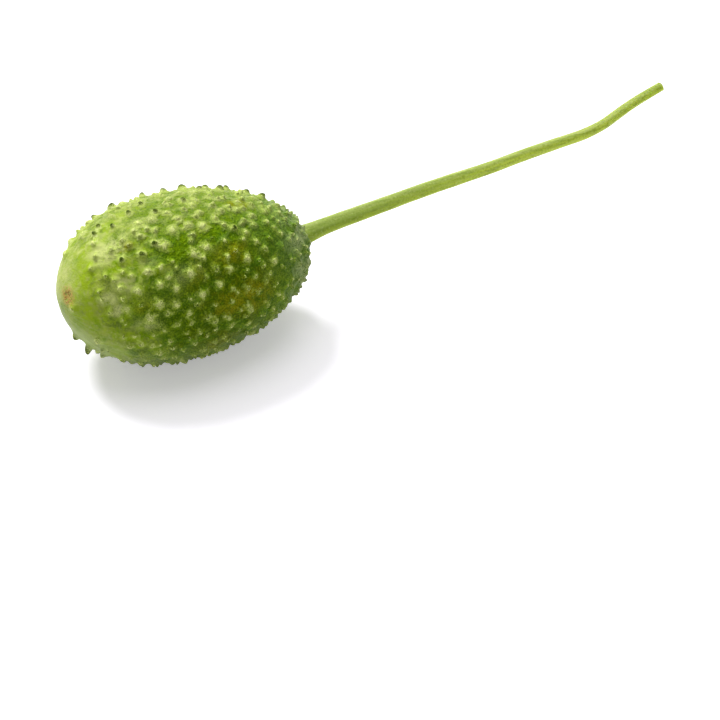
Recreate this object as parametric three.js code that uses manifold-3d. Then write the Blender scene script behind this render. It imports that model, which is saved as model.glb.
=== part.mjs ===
// West Indian gherkin (Cucumis anguria), one whole fruit picked with its long stalk.
// Millimetres, +Z up. +X runs along the fruit towards the stalk, and the origin is the
// middle of the small flat that the fruit has where it rests.

import * as THREE from 'three';
import { ConvexHull } from 'three/addons/math/ConvexHull.js';
import { mergeVertices } from 'three/addons/utils/BufferGeometryUtils.js';
import Module from 'manifold-3d';

// ---------------------------------------------------------------- driving dimensions

// The fruit's body, without its prickles.
const halfLength = 33.2;
const radius = 21;
const blossomSwell = -0.146;      // more girth towards the blossom end
const endSwell = 0.085;           // blunter ends than an ellipsoid's
const sagUp = 1.1;                // the ends sit this much higher than the middle
const sagSide = -0.5;             // and this much to one side
const noseUp = 1.9;               // degrees by which the blossom end is raised
const restDip = 0.3;              // depth of skin that is pressed flat at the rest

// Broad lumps: [height share, waves around, waves along, phase].
const lumps = [
  [0.009, 2, 1.1, 0.6],
  [0.007, 3, -1.7, 2.1],
  [0.005, 5, 2.3, 4.0],
];

// The prickles, each on a low mound of its own.
const prickleCount = 800;
const prickleEnds = [-0.975, 0.97];    // from the blossom scar to the stalk, of the half length
const prickleScatter = 2.0;            // how far each may stray from its even place
const sparseAlong = [-0.92, -0.5];     // the prickles thin out over this stretch
const sparseShare = 0.15;              // of them that are left at the blossom end
const prickleHeight = [0.7, 1.25];
const shortPrickles = 1.5;             // more than 1 makes the short ones commoner
const moundRadius = [0.9, 1.6];
const moundShare = 0.45;               // largest share of the way to the next prickle
const lean = 0.3;                      // how far a tip leans, of its height
const footSides = 5;

// The longest and broadest prickles: [along the fruit, degrees around, height, mound].
const chosenPrickles = [
  [-0.84, 238, 2.2, 1.5], [-0.91, 248, 1.2, 1.4], [-0.87, 60, 0.9, 1.7], [-0.79, 50, 1.0, 1.5],
  [-0.63, 54, 1.1, 1.7], [-0.55, 43, 1.5, 1.6], [-0.43, 54, 1.6, 1.9], [-0.33, 47, 0.9, 1.4],
  [-0.25, 62, 1.1, 1.6], [-0.16, 46, 1.4, 1.4], [-0.01, 54, 1.2, 1.6], [0.15, 50, 1.5, 1.9],
  [0.24, 62, 1.2, 1.5], [0.32, 50, 1.2, 1.5], [0.40, 62, 1.5, 1.8], [0.47, 54, 1.3, 1.5],
  [0.54, 67, 1.1, 1.5], [0.61, 58, 1.3, 1.6], [0.69, 69, 1.5, 1.8], [0.77, 84, 1.1, 1.5],
  [-0.66, 82, 1.2, 1.4], [-0.70, 91, 1.1, 1.4], [-0.61, 76, 1.2, 1.1], [-0.53, 86, 1.2, 1.1],
  [-0.38, 80, 1.2, 1.2], [-0.26, 74, 1.2, 1.1], [-0.20, 88, 1.2, 1.2], [-0.31, 114, 1.2, 1.3],
  [-0.57, 118, 1.2, 1.3], [-0.42, 119, 1.2, 1.3], [0.04, 82, 1.2, 1.3], [0.31, 116, 1.2, 1.3],
  [-0.12, 140, 0.9, 1.7], [-0.39, 156, 0.9, 1.7], [-0.06, 156, 1.0, 1.5], [-0.25, 118, 0.8, 1.6],
  [-0.52, 144, 0.9, 1.6], [-0.42, 132, 0.7, 1.6], [0.05, 126, 0.8, 1.6], [0.08, 152, 1.1, 1.4],
  [0.56, 148, 0.9, 1.5], [0.08, 110, 0.8, 1.6], [-0.47, 166, 0.8, 1.6], [-0.25, 148, 0.9, 1.3],
  [0.34, 140, 0.9, 1.5], [-0.06, 128, 0.8, 1.5], [-0.15, 108, 0.8, 1.6],
];
const chosenClearance = 2.6;

// The blossom scar, and the dimple that the stalk grows from: [along, degrees around].
const scarSpot = [-0.966, 130];
const scarRadius = 1.9;
const scarDepth = 0.35;
const stalkSpot = [0.997, 35];
const dimpleRadius = 3.6;
const dimpleDepth = 0.5;
const dishClearance = 0.9;             // from the rim of either to the nearest prickle

const dishRings = [0.5, 1];            // rings of skin points in a dish, of its radius
const dishSides = 10;
const fillerCount = 620;               // plain skin points between the prickles
const fillerClearance = 1.7;

// The stalk: its middle line, as offsets from its foot, and its thickness.
const stalkRoute = [
  [0, 0, 0.15], [3.2, 0.5, 0.3], [8.8, 1.7, 0.1], [18.6, 3.4, -0.4], [28.5, 5.1, -0.9],
  [38.6, 6.8, -1.4], [48.6, 8.1, -1.8], [58.7, 9.4, -2.3], [69.3, 11.2, -2.7], [79.8, 12.7, -3.1],
  [89.5, 13.9, -3.4], [96.5, 15.6, -3.3], [102.5, 18.0, -3.0], [108.7, 20.3, -2.5],
  [118.3, 22.6, -1.3],
];
const stalkDiameter = [4.45, 2.65];
const stalkFlare = 1.4;                // extra diameter where it meets the fruit
const flareLength = 3;
const stalkSides = 12;
const stalkSteps = 44;
const gap = 0.45;                      // kept between the stalk's foot and the fruit

// ---------------------------------------------------------------- small helpers

const fullTurn = 2 * Math.PI;
const goldenAngle = Math.PI * (3 - Math.sqrt(5));
const degrees = THREE.MathUtils.DEG2RAD;

// The same scattered number between 0 and 1 for the same index and purpose.
function scatter(index, purpose) {
  const wave = Math.sin(index * 12.9898 + purpose * 78.233) * 43758.5453;
  return wave - Math.floor(wave);
}

const between = ([low, high], share) => low + (high - low) * share;

// ---------------------------------------------------------------- the fruit's skin

// A spot on the skin is { polar, around }: the polar angle is 0 at the stalk's end.
function spotAt(along, aroundDegrees) {
  return { polar: Math.acos(along), around: aroundDegrees * degrees };
}

function skinPoint({ polar, around }) {
  const along = Math.cos(polar);
  let girth = radius * Math.sin(polar) * Math.sqrt(1 + blossomSwell * along + endSwell * along ** 2);
  for (const [share, wavesAround, wavesAlong, phase] of lumps) {
    girth *= 1 + share * Math.sin(wavesAround * around + wavesAlong * along + phase);
  }
  return new THREE.Vector3(
    halfLength * along,
    girth * Math.cos(around) + sagSide * along ** 2,
    girth * Math.sin(around) + sagUp * along ** 2,
  );
}

function directionOf({ polar, around }) {
  return new THREE.Vector3(
    Math.cos(polar),
    Math.sin(polar) * Math.cos(around),
    Math.sin(polar) * Math.sin(around),
  );
}

// Moves a spot over the skin by millimetres towards the stalk and around the fruit.
function stepOver({ polar, around }, towardsStalk, sideways) {
  const lengthwise = Math.hypot(halfLength * Math.sin(polar), radius * Math.cos(polar));
  const direction = directionOf({ polar, around });
  direction.addScaledVector(directionOf({ polar: polar - Math.PI / 2, around }), towardsStalk / lengthwise);
  direction.y -= Math.sin(around) * sideways / radius;
  direction.z += Math.cos(around) * sideways / radius;
  direction.normalize();
  return { polar: Math.acos(direction.x), around: Math.atan2(direction.z, direction.y) };
}

function skinNormal({ polar, around }) {
  return new THREE.Vector3(
    Math.cos(polar) / halfLength,
    Math.sin(polar) * Math.cos(around) / radius,
    Math.sin(polar) * Math.sin(around) / radius,
  ).normalize();
}

// The skin sinks in a soft dish at the blossom scar and where the stalk grows out.
const dishes = [
  { spot: spotAt(...scarSpot), reach: scarRadius, depth: scarDepth },
  { spot: spotAt(...stalkSpot), reach: dimpleRadius, depth: dimpleDepth },
];
for (const dish of dishes) dish.centre = skinPoint(dish.spot);

function dishDepth(point) {
  let depth = 0;
  for (const dish of dishes) {
    const share = Math.min(point.distanceTo(dish.centre) / dish.reach, 1);
    depth += dish.depth * (1 - share ** 2) ** 2;
  }
  return depth;
}

// Tips the body by its raised nose, then sets its lowest skin just below the ground.
const tilt = new THREE.Matrix4().makeRotationY(noseUp * degrees);

function findRest() {
  let lowest = new THREE.Vector3(0, 0, Infinity);
  for (let polar = 80; polar <= 110; polar += 0.25) {
    for (let around = 255; around <= 285; around += 0.25) {
      const point = skinPoint({ polar: polar * degrees, around: around * degrees });
      point.applyMatrix4(tilt);
      if (point.z < lowest.z) lowest = point;
    }
  }
  return new THREE.Vector3(-lowest.x, -lowest.y, -lowest.z - restDip);
}

const toRest = findRest();

function place(spot, height = 0) {
  const point = skinPoint(spot);
  point.addScaledVector(skinNormal(spot), height - dishDepth(point));
  return point.applyMatrix4(tilt).add(toRest);
}

// ---------------------------------------------------------------- the prickles

// A golden-angle spiral, loosened, with room left for the chosen prickles.
function layOutPrickles() {
  const prickles = chosenPrickles.map(([along, around, height, mound], index) => (
    { spot: spotAt(along, around), height, mound, index: prickleCount + index }
  ));
  const chosenPlaces = prickles.map(({ spot }) => skinPoint(spot));
  for (let index = 0; index < prickleCount; index++) {
    const along = between(prickleEnds, (index + 0.5) / prickleCount);
    const even = { polar: Math.acos(along), around: index * goldenAngle };
    const stray = [1, 2].map((purpose) => prickleScatter * (scatter(index, purpose) - 0.5));
    const spot = stepOver(even, ...stray);
    const settled = THREE.MathUtils.inverseLerp(...sparseAlong, Math.cos(spot.polar));
    if (scatter(index, 10) >= between([sparseShare, 1], THREE.MathUtils.clamp(settled, 0, 1))) continue;
    const point = skinPoint(spot);
    if (chosenPlaces.some((other) => other.distanceTo(point) < chosenClearance)) continue;
    if (dishes.some(({ centre, reach }) => centre.distanceTo(point) < reach + dishClearance)) continue;
    prickles.push({
      spot,
      height: between(prickleHeight, scatter(index, 3) ** shortPrickles),
      mound: between(moundRadius, scatter(index, 4)),
      index,
    });
  }
  return prickles;
}

// A mound stays clear of its neighbours' feet.
function keepMoundsApart(prickles) {
  const places = prickles.map(({ spot }) => skinPoint(spot));
  for (const [index, prickle] of prickles.entries()) {
    let nearest = Infinity;
    for (const [other, point] of places.entries()) {
      if (other !== index) nearest = Math.min(nearest, point.distanceTo(places[index]));
    }
    prickle.mound = Math.min(prickle.mound, moundShare * nearest);
  }
}

// Joins spots all over the fruit into one closed skin, by the hull of their directions.
function closeSkin(spots) {
  const directions = spots.map(({ spot }) => directionOf(spot));
  const numberOf = new Map(directions.map((direction, index) => [direction, index]));
  const corners = [];
  for (const face of new ConvexHull().setFromPoints(directions).faces) {
    let edge = face.edge;
    do {
      corners.push(numberOf.get(edge.head().point));
      edge = edge.next;
    } while (edge !== face.edge);
  }
  const geometry = new THREE.BufferGeometry();
  const positions = spots.flatMap(({ place: point }) => point.toArray());
  geometry.setAttribute('position', new THREE.Float32BufferAttribute(positions, 3));
  geometry.setIndex(corners);
  return geometry;
}

function makeFruitSkin() {
  const prickles = layOutPrickles();
  keepMoundsApart(prickles);
  const spots = [];
  for (const { spot, height, mound, index } of prickles) {
    const leaning = fullTurn * scatter(index, 5);
    const tip = place(spot, height);
    const root = place(spot);
    const aside = place(stepOver(spot, Math.cos(leaning), Math.sin(leaning))).sub(root);
    tip.addScaledVector(aside, lean * height);
    spots.push({ spot, place: tip });
    for (let side = 0; side < footSides; side++) {
      const turn = fullTurn * (side + scatter(index, 6)) / footSides;
      const foot = stepOver(spot, mound * Math.cos(turn), mound * Math.sin(turn));
      spots.push({ spot: foot, place: place(foot) });
    }
  }
  for (const { spot, reach } of dishes) {
    spots.push({ spot, place: place(spot) });
    for (const ring of dishRings) {
      for (let side = 0; side < dishSides; side++) {
        const turn = fullTurn * (side + ring) / dishSides;
        const edge = stepOver(spot, ring * reach * Math.cos(turn), ring * reach * Math.sin(turn));
        spots.push({ spot: edge, place: place(edge) });
      }
    }
  }
  const taken = spots.map(({ spot }) => skinPoint(spot));
  for (let index = 0; index < fillerCount; index++) {
    const along = 1 - 2 * (index + 0.5) / fillerCount;
    const spot = { polar: Math.acos(along), around: index * goldenAngle };
    const point = skinPoint(spot);
    if (taken.some((other) => other.distanceTo(point) < fillerClearance)) continue;
    spots.push({ spot, place: place(spot) });
  }
  return closeSkin(spots);
}

// ---------------------------------------------------------------- joins and cuts

const wasm = await Module();
wasm.setup();

function toSolid(geometry) {
  const bare = geometry.clone();
  bare.deleteAttribute('normal');
  bare.deleteAttribute('uv');
  const merged = mergeVertices(bare, 1e-4);
  return new wasm.Manifold(new wasm.Mesh({
    numProp: 3,
    vertProperties: new Float32Array(merged.attributes.position.array),
    triVerts: new Uint32Array(merged.index.array),
  }));
}

function toGeometry(solid) {
  const { vertProperties, triVerts } = solid.getMesh();
  const geometry = new THREE.BufferGeometry();
  geometry.setAttribute('position', new THREE.BufferAttribute(vertProperties, 3));
  geometry.setIndex(new THREE.BufferAttribute(triVerts, 1));
  geometry.computeVertexNormals();
  return geometry;
}

// The surface that the fruit rests on presses a small flat into its skin.
function pressFlat(skin) {
  const slab = new THREE.BoxGeometry(4 * halfLength, 4 * radius, 2 * radius);
  slab.translate(0, 0, -radius);
  return toGeometry(toSolid(skin).subtract(toSolid(slab)));
}

// ---------------------------------------------------------------- the stalk

// A turned taper, bent along the route. Its foot stands a gap off the fruit.
function makeStalk() {
  const foot = place(spotAt(...stalkSpot), gap);
  const points = stalkRoute.map((offset) => new THREE.Vector3(...offset).add(foot));
  const route = new THREE.CatmullRomCurve3(points, false, 'centripetal');
  const length = route.getLength();
  const halfThickness = (share) => {
    const flare = stalkFlare * Math.exp(-share * length / flareLength);
    return (between(stalkDiameter, share ** 0.8) + flare) / 2;
  };
  const profile = [new THREE.Vector2(0, 0)];
  for (let step = 0; step <= stalkSteps; step++) {
    profile.push(new THREE.Vector2(halfThickness(step / stalkSteps), length * step / stalkSteps));
  }
  profile.push(new THREE.Vector2(0, length));

  const geometry = new THREE.LatheGeometry(profile, stalkSides);
  const { normals, binormals } = route.computeFrenetFrames(stalkSteps, false);
  const position = geometry.attributes.position;
  for (let index = 0; index < position.count; index++) {
    const share = position.getY(index) / length;
    const ring = Math.round(share * stalkSteps);
    const point = route.getPointAt(Math.min(share, 1));
    point.addScaledVector(binormals[ring], position.getX(index));
    point.addScaledVector(normals[ring], position.getZ(index));
    position.setXYZ(index, ...point.toArray());
  }
  geometry.deleteAttribute('normal');
  geometry.deleteAttribute('uv');
  const stalk = mergeVertices(geometry, 1e-4);
  stalk.computeVertexNormals();
  return stalk;
}

// ---------------------------------------------------------------- the assembly

function named(name, geometry, material) {
  const mesh = new THREE.Mesh(geometry, material);
  mesh.name = name;
  return mesh;
}

const rind = new THREE.MeshStandardMaterial({ color: '#6f8a27', roughness: 0.45, metalness: 0 });
const stalkSkin = new THREE.MeshStandardMaterial({ color: '#9aac45', roughness: 0.55, metalness: 0 });

const group = new THREE.Group();
group.add(named('fruit', pressFlat(makeFruitSkin()), rind));
group.add(named('stem', makeStalk(), stalkSkin));

export default group;
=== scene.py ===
"""West Indian gherkin (Cucumis anguria): one whole prickly fruit, picked with its long stalk.

The file is laid out as an add-on. Each piece keeps its sizes and colours in a property group,
is made by an operator of its own, and has a line in the sidebar panel. Lengths are in metres in
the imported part's frame: +X runs along the fruit towards the stalk, +Z is up, and the origin is
the middle of the small flat that the fruit rests on.
"""

import math

import bpy
import numpy as np
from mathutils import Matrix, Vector, kdtree, noise
from mathutils.geometry import delaunay_2d_cdt


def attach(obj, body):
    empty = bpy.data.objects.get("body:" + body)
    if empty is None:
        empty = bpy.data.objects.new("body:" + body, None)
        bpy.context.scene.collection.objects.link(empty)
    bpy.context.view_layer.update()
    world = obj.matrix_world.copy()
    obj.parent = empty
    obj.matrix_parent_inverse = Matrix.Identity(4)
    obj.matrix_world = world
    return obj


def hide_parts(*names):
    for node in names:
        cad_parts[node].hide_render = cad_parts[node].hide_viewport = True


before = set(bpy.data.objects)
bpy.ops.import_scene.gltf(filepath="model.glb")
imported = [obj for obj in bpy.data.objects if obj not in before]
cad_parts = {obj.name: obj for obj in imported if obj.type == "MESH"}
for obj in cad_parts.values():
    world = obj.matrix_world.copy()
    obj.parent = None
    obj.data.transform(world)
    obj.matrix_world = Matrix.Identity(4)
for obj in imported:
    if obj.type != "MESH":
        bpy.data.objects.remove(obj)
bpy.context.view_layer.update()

bl_info = {
    "name": "West Indian gherkin",
    "version": (1, 0, 0),
    "blender": (4, 5, 0),
    "location": "View3D > Sidebar > Gherkin",
    "description": "Builds a prickly gherkin with its stalk, and a plain stage for it",
    "category": "Add Mesh",
}

MM = 0.001
FULL_TURN = 2 * math.pi
GOLDEN_ANGLE = math.pi * (3 - math.sqrt(5))


def paint(code):
    """An sRGB hex code as linear red, green and blue."""
    shares = [int(code[i : i + 2], 16) / 255 for i in (1, 3, 5)]
    return tuple(s / 12.92 if s <= 0.04045 else ((s + 0.055) / 1.055) ** 2.4 for s in shares)


# ---------- what a user may change


def length_property(name, description, default):
    return bpy.props.FloatProperty(
        name=name, description=description, default=default, min=0, precision=5, unit="LENGTH",
    )


def colour_property(name, description, code):
    return bpy.props.FloatVectorProperty(
        name=name, description=description, default=paint(code), size=3, min=0, max=1,
        subtype="COLOR",
    )


class GherkinFruitSettings(bpy.types.PropertyGroup):
    """Sizes and colours of the fruit."""

    half_length: length_property("Half length", "Half the body's length", 33.2 * MM)
    radius: length_property("Radius", "The body's radius at its middle", 21 * MM)
    prickle_count: bpy.props.IntProperty(
        name="Prickles", description="On the whole spiral, before some are left out",
        default=800, min=10,
    )
    short_prickle: length_property("Short prickle", "Height of the shortest prickle", 0.7 * MM)
    tall_prickle: length_property("Tall prickle", "Height of a tall ordinary prickle", 1.25 * MM)
    skin_step: length_property("Skin step", "Spacing of the plain skin's points", 0.48 * MM)
    grass_green: colour_property("Grass green", "Cooler clouds round the middle", "#4a7414")
    middle_green: colour_property("Middle green", "Rind round the middle", "#6a8a00")
    # real blotches, and also painted shade: the shade patches, the furrows and the side away from
    # the lamps
    blotch_and_shade_green: colour_property("Dark green", "Blotches between the mounds", "#3b5a00")
    lime_green: colour_property("Lime green", "Bright specks and the blossom end", "#98b31c")
    light_green: colour_property("Light green", "Lighter clouds and the sunny side", "#a3b04d")
    stalk_end_green: colour_property("Stalk end green", "Rind round the stalk", "#618430")
    # real whitish patches and streaks, and also painted light and sheen on the lit mounds, the lit
    # top and the blossom end's rim
    pale_and_lit_green: colour_property("Pale green", "Whitish patches and streaks", "#c2cb7c")
    # painted light: the lighter rind of the top that faces the lamps
    painted_light_green: colour_property("Sunny green", "Skin of the bleached side", "#92a250")
    # painted highlight on the tops of the mounds that face the lamps
    painted_highlight_cream: colour_property("Cream", "Tops of the sunny mounds", "#d6dc9e")
    mound_green: colour_property("Mound green", "Soft mounds under the prickles", "#a7be4a")
    # painted shade: darker olive low on one side
    olive: colour_property("Olive", "Riper rind low on one side", "#525700")
    # partly wax bloom, partly painted sheen on the rims
    bloom_and_sheen: colour_property("Bloom", "Greyish wax on the underside", "#a8b77a")
    ochre: colour_property("Ochre", "Ripening patches", "#86860a")
    old_prickle: colour_property("Old prickle", "Sides of the longest prickles", "#566a0c")
    # real dry tips, and also painted shadow specks at the prickles' feet
    tip_and_shadow_dark: colour_property("Prickle tip", "Dry tips of the prickles", "#32450a")
    # painted glints: bright specks of reflected light on the prickles
    painted_glint: colour_property("Glint", "Bright waxy specks on the prickles", "#dfea90")
    scar_tan: colour_property("Scar tan", "Corky blossom scar", "#bfa456")
    scar_dark: colour_property("Scar dark", "Cracks in the blossom scar", "#6a4813")


class GherkinStalkSettings(bpy.types.PropertyGroup):
    """Sizes and colours of the stalk."""

    base_diameter: length_property("Base diameter", "Thickness at the fruit", 4.45 * MM)
    end_diameter: length_property("End diameter", "Thickness at the cut end", 2.65 * MM)
    skin_green: colour_property("Skin green", "The stalk's side", "#8ba532")
    ridge_green: colour_property("Ridge green", "Pale ridges along the stalk", "#b9c878")
    groove_green: colour_property("Groove green", "Grooves between the ridges", "#6f8824")
    # painted sheen and shade: a greyer, duller top
    painted_sheen_top_green: colour_property("Upper green", "Greyish skin on top", "#96a25c")
    # painted light: the underside paler, as if lit by the floor's bounce
    painted_bounce_green: colour_property("Under green", "Paler skin underneath", "#c0d746")
    tip_green: colour_property("Tip green", "The young far end", "#cadb55")
    cut_green: colour_property("Cut green", "Pith at the cut end", "#c9cf96")


class GherkinStageSettings(bpy.types.PropertyGroup):
    """The plain floor, the lamps and the camera."""

    floor_size: length_property("Floor size", "Side of the square floor", 6.0)
    floor_white: colour_property("Floor white", "Colour of the floor", "#efecf4")
    azimuth: bpy.props.FloatProperty(
        name="Azimuth", description="Camera's turn round the fruit", default=math.radians(-23.7),
        subtype="ANGLE",
    )
    elevation: bpy.props.FloatProperty(
        name="Elevation", description="Camera's height over the horizon", default=math.radians(42),
        subtype="ANGLE",
    )
    distance: length_property("Distance", "From the camera to the middle of the view", 0.6)
    lens: bpy.props.FloatProperty(
        name="Lens", description="Focal length on a 36 mm sensor", default=117,
        subtype="DISTANCE_CAMERA",
    )


# ---------- the fruit's skin

BLOSSOM_SWELL = -0.146  # more girth towards the blossom end
END_SWELL = 0.085  # blunter ends than an ellipsoid's
SAG_UP = 1.1 * MM  # the ends sit this much higher than the middle
SAG_SIDE = -0.5 * MM  # and this much to one side
NOSE_UP = math.radians(1.9)  # by which the blossom end is raised
REST_DIP = 0.3 * MM  # depth of skin that is pressed flat at the rest
LUMPS = (
    # slow waves of girth: share of it, waves around and along, and phase
    (0.009, 2, 1.1, 0.6), (0.007, 3, -1.7, 2.1), (0.005, 5, 2.3, 4.0),
)
SCAR_SPOT = (-0.966, 130)  # along the half length, degrees around
STALK_SPOT = (0.997, 35)
SCAR_DISH = (1.9 * MM, 0.35 * MM)  # reach and depth
STALK_DISH = (3.6 * MM, 0.5 * MM)


def scatter(index, purpose):
    """The same scattered number between 0 and 1 for the same index and purpose."""
    wave = np.sin(np.asarray(index) * 12.9898 + purpose * 78.233) * 43758.5453
    return wave - np.floor(wave)


def between(low, high, share):
    return low + (high - low) * share


def spot(along, around_degrees):
    """Polar angle and angle around, from the share of the half length and the degrees around."""
    return np.arccos(along), np.radians(around_degrees)


def direction(polar, around):
    """Unit vectors, with X towards the stalk."""
    across = np.sin(polar)
    return np.stack(
        [np.cos(polar) + 0 * around, across * np.cos(around), across * np.sin(around)], -1
    )


class Skin:
    """The smooth body: a spot on it is a polar angle, 0 at the stalk, and an angle around."""

    def __init__(self, half_length, radius):
        self.half_length, self.radius = half_length, radius
        self.dishes = [
            (self.body_point(*spot(*SCAR_SPOT)), *SCAR_DISH),
            (self.body_point(*spot(*STALK_SPOT)), *STALK_DISH),
        ]
        self.tilt = np.array(
            [
                [math.cos(NOSE_UP), 0, math.sin(NOSE_UP)],
                [0, 1, 0],
                [-math.sin(NOSE_UP), 0, math.cos(NOSE_UP)],
            ]
        )
        # The fruit rests on its lowest point, which is near the middle of its underside.
        polar, around = np.meshgrid(
            np.radians(np.arange(80, 110.1, 0.25)), np.radians(np.arange(255, 285.1, 0.25))
        )
        below = (self.body_point(polar, around) @ self.tilt.T).reshape(-1, 3)
        lowest = below[below[:, 2].argmin()]
        self.to_rest = np.array([-lowest[0], -lowest[1], -lowest[2] - REST_DIP])

    def body_point(self, polar, around):
        """Points of the smooth body, before it is tilted and set down."""
        along = np.cos(polar)
        girth = self.radius * np.sin(polar)
        girth = girth * np.sqrt(1 + BLOSSOM_SWELL * along + END_SWELL * along**2)
        for share, waves_around, waves_along, phase in LUMPS:
            wave = np.sin(waves_around * around + waves_along * along + phase)
            girth = girth * (1 + share * wave)
        return np.stack(
            [
                self.half_length * along + 0 * around,
                girth * np.cos(around) + SAG_SIDE * along**2,
                girth * np.sin(around) + SAG_UP * along**2,
            ],
            -1,
        )

    def normal(self, polar, around):
        """Outward unit vectors, as those of the plain ellipsoid."""
        steep = direction(polar, around) / [self.half_length, self.radius, self.radius]
        return steep / np.linalg.norm(steep, axis=-1, keepdims=True)

    def step_over(self, polar, around, towards_stalk, sideways):
        """Moves spots over the skin by metres towards the stalk and around the fruit."""
        lengthwise = np.hypot(self.half_length * np.sin(polar), self.radius * np.cos(polar))
        slide = (towards_stalk / lengthwise)[..., None]
        moved = direction(polar, around) + direction(polar - math.pi / 2, around) * slide
        moved[..., 1] -= np.sin(around) * sideways / self.radius
        moved[..., 2] += np.cos(around) * sideways / self.radius
        moved /= np.linalg.norm(moved, axis=-1, keepdims=True)
        return np.arccos(moved[..., 0]), np.arctan2(moved[..., 2], moved[..., 1])

    def place(self, polar, around, height=0):
        """Points of the finished skin, raised by height, where the fruit lies."""
        point = self.body_point(polar, around)
        sunk = 0
        for centre, reach, depth in self.dishes:
            share = np.minimum(np.linalg.norm(point - centre, axis=-1) / reach, 1)
            sunk = sunk + depth * (1 - share**2) ** 2
        point = point + self.normal(polar, around) * np.asarray(height - sunk)[..., None]
        return point @ self.tilt.T + self.to_rest

    def unrolled(self, polar, around):
        """The skin spread on a plane with its angles kept: the blossom end in the middle."""
        table = np.linspace(0.001, math.pi - 0.001, 4001)
        line = self.body_point(table, np.full_like(table, math.pi / 2))
        run = np.hypot(np.gradient(line[:, 0]), np.gradient(line[:, 2]))
        girth = self.radius * np.sin(table)
        girth *= np.sqrt(1 + BLOSSOM_SWELL * np.cos(table) + END_SWELL * np.cos(table) ** 2)
        reach = np.cumsum(run / girth)
        reach -= np.interp(math.pi / 2, table, reach)
        radius = np.exp(-np.interp(polar, table, reach))
        return radius * np.cos(around), radius * np.sin(around)


# ---------- the prickles

PRICKLE_ENDS = (-0.975, 0.97)  # along the half length, from the blossom scar to the stalk
PRICKLE_SCATTER = 2.0 * MM
SPARSE_ALONG = (-0.92, -0.5)  # the prickles thin out over this stretch
SPARSE_SHARE = 0.15  # of them that are left at the blossom end
SHORT_PRICKLES = 1.5  # more than 1 makes the short ones commoner
MOUND_RADIUS = (0.9 * MM, 1.6 * MM)
MOUND_SHARE = 0.5  # a mound's largest share of the way to the next prickle
CHOSEN_MOUND_SHARE = 0.72
LEAN = 0.3  # how far a tip leans, of its height
CHOSEN_CLEARANCE = 2.6 * MM
DISH_CLEARANCE = 0.9 * MM
CHOSEN_PRICKLES = (
    # The longest and broadest: along the half length, degrees around, height and mound in mm
    (-0.84, 238, 2.2, 1.5), (-0.91, 248, 1.2, 1.4), (-0.87, 60, 0.9, 1.7), (-0.79, 50, 1.0, 1.5),
    (-0.63, 54, 1.1, 1.7), (-0.55, 43, 1.5, 1.6), (-0.43, 54, 1.6, 1.9), (-0.33, 47, 0.9, 1.4),
    (-0.25, 62, 1.1, 1.6), (-0.16, 46, 1.4, 1.4), (-0.01, 54, 1.2, 1.6), (0.15, 50, 1.5, 1.9),
    (0.24, 62, 1.2, 1.5), (0.32, 50, 1.2, 1.5), (0.40, 62, 1.5, 1.8), (0.47, 54, 1.3, 1.5),
    (0.54, 67, 1.1, 1.5), (0.61, 58, 1.3, 1.6), (0.69, 69, 1.5, 1.8), (0.77, 84, 1.1, 1.5),
    (-0.66, 82, 1.2, 1.4), (-0.70, 91, 1.1, 1.4), (-0.61, 76, 1.2, 1.1), (-0.53, 86, 1.2, 1.1),
    (-0.38, 80, 1.2, 1.2), (-0.26, 74, 1.2, 1.1), (-0.20, 88, 1.2, 1.2), (-0.31, 114, 1.2, 1.3),
    (-0.57, 118, 1.2, 1.3), (-0.42, 119, 1.2, 1.3), (0.04, 82, 1.2, 1.3), (0.31, 116, 1.2, 1.3),
    (-0.12, 140, 0.9, 1.7), (-0.39, 156, 0.9, 1.7), (-0.06, 156, 1.0, 1.5), (-0.25, 118, 0.8, 1.6),
    (-0.52, 144, 0.9, 1.6), (-0.42, 132, 0.7, 1.6), (0.05, 126, 0.8, 1.6), (0.08, 152, 1.1, 1.4),
    (0.56, 148, 0.9, 1.5), (0.08, 110, 0.8, 1.6), (-0.47, 166, 0.8, 1.6), (-0.25, 148, 0.9, 1.3),
    (0.34, 140, 0.9, 1.5), (-0.06, 128, 0.8, 1.5), (-0.15, 108, 0.8, 1.6),
)
NUB_BLUNTNESS = 2.0
CHOSEN_BLUNTNESS = 3.0
NUB_SHARE = 0.64  # radius of the blunt nub on a mound, of the mound's
RING_SHARES = (0.14, 0.29, 0.46, 0.64, 0.82, 1.0)  # rings of corners round a nub
RING_SIDES = 10
RING_WAVES = ((7, 2, 0.14), (8, 3, 0.1))  # their dents: purpose, waves around, share of radius
FOOT_MARGIN = 1.15  # room for most of those dents round a nub's foot
FOOT_GAP = 0.4  # and from it to the plain skin's points, of the skin step
SWELL_HEIGHT = 0.75 * MM  # of the soft mounds
SWELL_LEVEL = 0.15  # share of it that is level with the smooth body
PALENESS = (0.3, 1.0)  # of the ordinary mounds
MOUND_RAGGED = 0.45  # how unevenly a mound runs out, by dents of the next size
RAGGED_SIZE = 1.2 * MM
DRY_HEIGHT = 1.15 * MM  # chosen prickles over this height have dried halfway down
UNEVENNESS = (  # height and size of the small dents between the mounds
    (0.12 * MM, 5 * MM), (0.08 * MM, 2.3 * MM), (0.04 * MM, 1.1 * MM),
)
FLOW = (2.2, 9, 9)  # streaks along the half length, and round the fruit
LAMP_SIDE = math.radians(62)  # the side that faces the lamps, where painted light lightens the rind
BACK_TURN = 2.5  # how many times faster the prickles' dryness changes behind that side
SHEEN_RIM_SIDE = (-0.74, 0, -0.67)  # the way that the skin faces where painted sheen is laid on the rims
PATCH_STRETCH = (1.6, 1, 1)  # patches are longer along the fruit than around it
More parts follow.
